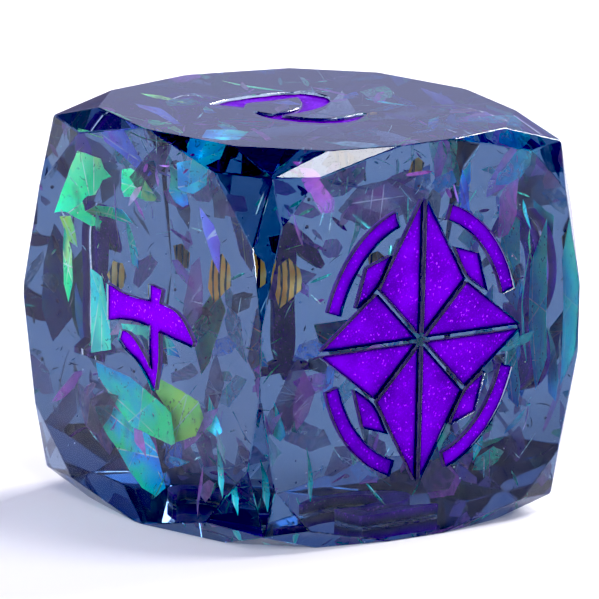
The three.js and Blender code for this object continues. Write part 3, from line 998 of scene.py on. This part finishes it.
FILL_REACH = 6.7  # mm from the die's centre along each axis
NEAR_FACE_SHARE = 0.65  # of the inclusions lie near a face
NEAR_FACE = 0.72  # of the reach
CLEAR_OF_GOLD = 2.4
BELOW_ENGRAVINGS = 0.54
UNDER_FACETS = 0.15
SHARD_GRID = (0.4, 0.15)
SHARD_WAVE = 0.2
SHARD_SLANT = 0.5  # of a random direction's height, so that shards stand rather than lie
SHARD_DRIFT = 0.12
STRAND_SIDES = 6
STRAND_BEND = 0.6
gold_places = [sum(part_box(node), Vector()) / 2 / MM for node in foil_nodes]


def inner_planes():
    """The facets' planes moved into the resin: main faces to below their engravings, others less."""
    block = polished_block(resin_points)
    planes = []
    for facet in block.faces:
        main = max(abs(c) for c in facet.normal) > FACING
        inset = BELOW_ENGRAVINGS if main else UNDER_FACETS
        planes.append((facet.normal.copy(), facet.normal.dot(facet.verts[0].co) - inset))
    block.free()
    return planes


filled_space = inner_planes()


def is_in_resin(points):
    """True if every point is within the resin, clear of its engravings."""
    return all(normal.dot(point) < limit for normal, limit in filled_space for point in points)


def random_place(rng):
    """A point in the resin, more often than not close to one of the faces."""
    at = Vector([rng.uniform(-FILL_REACH, FILL_REACH) for _ in range(3)])
    if rng.random() < NEAR_FACE_SHARE:
        at[rng.randrange(3)] = rng.choice((-1, 1)) * rng.uniform(NEAR_FACE, 1) * FILL_REACH
    return die_centre / MM + at


def random_direction(rng):
    """A direction of length 1, all of them equally likely."""
    z = rng.uniform(-1, 1)
    turn = rng.uniform(0, math.tau)
    flat = math.sqrt(1 - z * z)
    return Vector((flat * math.cos(turn), flat * math.sin(turn), z))


def strand_point(start, along, bend, t):
    """The middle of a strand at a share of its length. Along and bend hold its length."""
    return start + along * t + bend * (STRAND_BEND * t * t)


def add_strand(bm, start, along, bend, width, thickness, stations=7):
    """A tapered strand, flat or round, that curves towards bend."""
    side = along.cross(bend).normalized()
    rings = []
    for i in range(1, stations):
        t = i / stations
        at = strand_point(start, along, bend, t)
        tangent = along + bend * (2 * STRAND_BEND * t)
        flat = tangent.cross(side).normalized()
        swell = math.sin(math.pi * t) ** 0.6
        ring = []
        for k in range(STRAND_SIDES):
            turn = math.tau * k / STRAND_SIDES
            wide = side * (math.cos(turn) * width * swell)
            thick = flat * (math.sin(turn) * thickness * swell)
            ring.append(bm.verts.new(at + wide + thick))
        rings.append(ring)
    first = bm.verts.new(start)
    last = bm.verts.new(strand_point(start, along, bend, 1))
    for k in range(STRAND_SIDES):
        after = (k + 1) % STRAND_SIDES
        for a, b in zip(rings, rings[1:]):
            bm.faces.new((a[k], a[after], b[after], b[k]))
        bm.faces.new((first, rings[0][after], rings[0][k]))
        bm.faces.new((last, rings[-1][k], rings[-1][after]))


def build_strands(seed, count, lengths, widths, flatness, curve):
    """Strands of random lengths and widths, strewn through the resin."""
    rng = random.Random(seed)
    bm = bmesh.new()
    left = count
    while left:
        start, along, length = random_place(rng), random_direction(rng), rng.uniform(*lengths)
        bend = along.cross(random_direction(rng)).normalized() * rng.uniform(0.05, curve)
        width = rng.uniform(*widths)
        along, bend = along * length, bend * length
        if is_in_resin([start, strand_point(start, along, bend, 1)]):
            add_strand(bm, start, along, bend, width, width * flatness)
            left -= 1
    bmesh.ops.recalc_face_normals(bm, faces=bm.faces)
    return bm


def build_specks(seed, count, sizes):
    """Small uneven grains."""
    rng = random.Random(seed)
    bm = bmesh.new()
    for _ in range(count):
        made = bmesh.ops.create_icosphere(bm, subdivisions=1, radius=rng.uniform(*sizes))
        at = random_place(rng)
        while not is_in_resin([at]):
            at = random_place(rng)
        stretch = random_direction(rng) * rng.uniform(0, 0.8)
        for vertex in made["verts"]:
            shape = vertex.co + stretch * vertex.co.dot(stretch)
            vertex.co = at + shape * rng.uniform(0.8, 1.2)
    return bm


def build_shards(seed, count, halves):
    """Torn sheets, thin as skin, at all angles, each with its own place on the colour drift."""
    rng = random.Random(seed)
    bm = bmesh.new()
    layer = bm.verts.layers.float.new("drift")
    left = count
    while left:
        half_long = rng.uniform(*halves)
        half_wide = half_long * rng.uniform(0.25, 0.7)
        outline = torn_sides(torn_outline(rng, half_long, half_wide), rng)
        made, triangles = filled([outline], grid_inside([outline], SHARD_GRID))
        at = random_place(rng)
        out = random_direction(rng)
        out.z *= SHARD_SLANT
        out.normalize()
        along = out.orthogonal().normalized()
        along.rotate(Quaternion(out, rng.uniform(0, math.tau)))
        across = out.cross(along)
        phase = rng.uniform(0, 50)
        tone = rng.uniform(0, 1)
        sheet = []
        for p in made:
            wave = SHARD_WAVE * noise.noise(Vector((p.x * 0.6, p.y * 0.6, phase)))
            sheet.append(at + along * p.x + across * p.y + out * wave)
        from_gold = min((at - gold_at).length for gold_at in gold_places)
        if from_gold < CLEAR_OF_GOLD or not is_in_resin(sheet):
            continue
        skins = []
        for side in (SKIN / 2, -SKIN / 2):
            skins.append([bm.verts.new(p + out * side) for p in sheet])
            for vertex, p in zip(skins[-1], made):
                vertex[layer] = tone + SHARD_DRIFT * p.x / half_long
        close_slab(bm, skins[0], skins[1], triangles)
        left -= 1
    return drop_loose(bm)


# Each group's seed, count, range of half lengths, cover where thin and where thick, and colours.
SHARDS = {
    "dusky_shards": (11, 20, (0.3, 1.4), 0.3, 0.8, [
        (0.0, (0.004, 0.006, 0.03)), (0.3, (0.03, 0.012, 0.08)), (0.55, (0.09, 0.02, 0.14)),
        (0.8, (0.015, 0.03, 0.14)), (1.0, (0.005, 0.05, 0.09)),
    ]),
    "plum_shards": (12, 64, (0.3, 1.8), 0.25, 0.65, [
        (0.0, (0.60, 0.14, 0.85)), (0.35, (0.95, 0.22, 0.85)), (0.6, (0.60, 0.36, 1.00)),
        (0.8, (0.95, 0.40, 0.70)), (1.0, (0.75, 0.62, 0.95)),
    ]),
    "sea_shards": (47, 56, (0.3, 1.5), 0.2, 0.6, [
        (0.0, (0.08, 0.24, 1.00)), (0.3, (0.06, 0.55, 1.00)), (0.55, (0.06, 0.85, 0.85)),
        (0.8, (0.16, 0.95, 0.55)), (1.0, (0.60, 0.92, 1.00)),
    ]),
}
for name, (seed, count, halves, thin, thick, colours) in SHARDS.items():
    material = shard_material(name, colours, thin, thick)
    in_die(build_shards(seed, count, halves), name, material, smooth=True)

# Each group's seed, count, ranges of lengths and half widths, thickness for its width and most
# curve, then its darker and lighter tone, metallic share and roughness.
STRANDS = {
    "pale_slivers": (
        (21, 110, (0.25, 1.3), (0.015, 0.045), 0.25, 0.6),
        ((0.35, 0.85, 0.90), (0.85, 1.0, 1.0), 0.6, 0.15),
    ),
    "green_slivers": (
        (22, 44, (0.4, 1.6), (0.03, 0.09), 0.12, 0.35),
        ((0.0, 0.62, 0.45), (0.20, 1.0, 0.70), 0.7, 0.15),
    ),
    "magenta_slivers": (
        (23, 44, (0.4, 1.5), (0.03, 0.10), 0.12, 0.35),
        ((0.22, 0.04, 0.40), (0.50, 0.10, 0.50), 0.5, 0.2),
    ),
    "dark_threads": (
        (24, 80, (0.2, 0.9), (0.012, 0.035), 0.8, 0.9),
        ((0.002, 0.003, 0.012), (0.02, 0.02, 0.07), 0.0, 0.5),
    ),
}
for name, (shape, look) in STRANDS.items():
    in_die(build_strands(*shape), name, speck_material(name, *look), smooth=True)

white = speck_material("pale_specks", (0.7, 0.8, 0.9), (1.0, 1.0, 1.0), 0.3, 0.2)
in_die(build_specks(31, 90, (0.018, 0.045)), "pale_specks", white, smooth=True)
dark = speck_material("dark_specks", (0.004, 0.004, 0.02), (0.03, 0.02, 0.09), 0.0, 0.4)
in_die(build_specks(32, 60, (0.03, 0.09)), "dark_specks", dark)

# ---- Floor, light and air ----

FLOOR_HALF = 3.0  # metres
FLOOR_LEVEL = -0.01  # mm
FLOOR_STEPS = 24


def floor_material():
    """Near-white matt paper, faintly mottled."""
    s = Shading("studio_floor")
    mottle = s.noise(40, detail=2.0)
    surface = s.node(
        "BsdfPrincipled",
        Base_Color=s.ramp(mottle, [(0.3, (0.90, 0.90, 0.925)), (0.7, (0.915, 0.912, 0.93))]),
        Roughness=0.7,
        Specular_IOR_Level=0.2,
    )
    return s.finish(surface)


def build_floor():
    """A wide level sheet in a grid of squares."""
    bm = bmesh.new()
    places = [(2 * i / FLOOR_STEPS - 1) * FLOOR_HALF / MM for i in range(FLOOR_STEPS + 1)]
    rows = [[bm.verts.new((x, y, FLOOR_LEVEL)) for y in places] for x in places]
    for row, after in zip(rows, rows[1:]):
        for j in range(FLOOR_STEPS):
            bm.faces.new((row[j], after[j], after[j + 1], row[j + 1]))
    return placed(bm, "studio_floor", floor_material())


build_floor()


def soft_light(name, azimuth, elevation, distance, size, power, colour):
    """A square soft box that looks at the die from the given direction."""
    out = direction_to(azimuth, elevation)
    data = bpy.data.lights.new(name, "AREA")
    data.shape = "SQUARE"
    data.size = size
    data.energy = power
    data.color = colour
    light = bpy.data.objects.new(name, data)
    light.location = die_centre + out * distance
    light.rotation_mode = "QUATERNION"
    light.rotation_quaternion = out.to_track_quat("Z", "Y")
    bpy.context.scene.collection.objects.link(light)


# Azimuth and elevation in degrees, distance and side in metres, power in watts, and colour.
LIGHTS = {
    "key_softbox": (48, 61, 0.6, 0.2, 1.75, (1.0, 0.99, 0.98)),
    "side_softbox": (104, 30, 0.8, 0.36, 7.6, (1.0, 0.99, 1.0)),
    "front_softbox": (-20, 30, 0.7, 0.2, 1.4, (1.0, 0.99, 0.98)),
    "left_softbox": (-81, 11, 0.7, 0.26, 6.0, (0.97, 0.98, 1.0)),
}
for name, setting in LIGHTS.items():
    soft_light(name, *setting)

# The studio's tone from the horizon, at 0, to straight overhead, at 1.
ROOM = [
    (0.0, (1.0, 1.0, 1.0)),
    (0.06, (0.20, 0.18, 0.34)),
    (0.15, (0.62, 0.64, 0.98)),
    (0.32, (0.62, 0.64, 0.98)),
    (0.45, (0.20, 0.18, 0.30)),
    (0.90, (0.32, 0.30, 0.42)),
]


def make_world():
    """The bright and dark bands of the room round the die."""
    world = bpy.data.worlds.new("studio")
    bpy.context.scene.world = world
    world.use_nodes = True
    tree = world.node_tree
    tree.nodes.clear()
    output = tree.nodes.new("ShaderNodeOutputWorld")
    background = tree.nodes.new("ShaderNodeBackground")
    place = tree.nodes.new("ShaderNodeTexCoord")
    split = tree.nodes.new("ShaderNodeSeparateXYZ")
    ramp = tree.nodes.new("ShaderNodeValToRGB")
    tree.links.new(place.outputs["Generated"], split.inputs[0])
    tree.links.new(split.outputs["Z"], ramp.inputs["Fac"])
    set_ramp(ramp.color_ramp, ROOM)
    tree.links.new(ramp.outputs["Color"], background.inputs["Color"])
    background.inputs["Strength"].default_value = 1.0
    tree.links.new(background.outputs[0], output.inputs["Surface"])


make_world()

BLACK_LEVEL = (0.045, 0.042, 0.028)  # what the view shows as black
CLEAR_BOUNCES = 24
GLOSSY_BOUNCES = 12

view = bpy.context.scene.view_settings
view.view_transform = "Standard"
view.use_curve_mapping = True
view.curve_mapping.black_level = BLACK_LEVEL
view.curve_mapping.update()
cycles = bpy.context.scene.cycles
cycles.max_bounces = CLEAR_BOUNCES
cycles.transmission_bounces = CLEAR_BOUNCES
cycles.transparent_max_bounces = CLEAR_BOUNCES
cycles.glossy_bounces = GLOSSY_BOUNCES
cycles.use_denoising = True
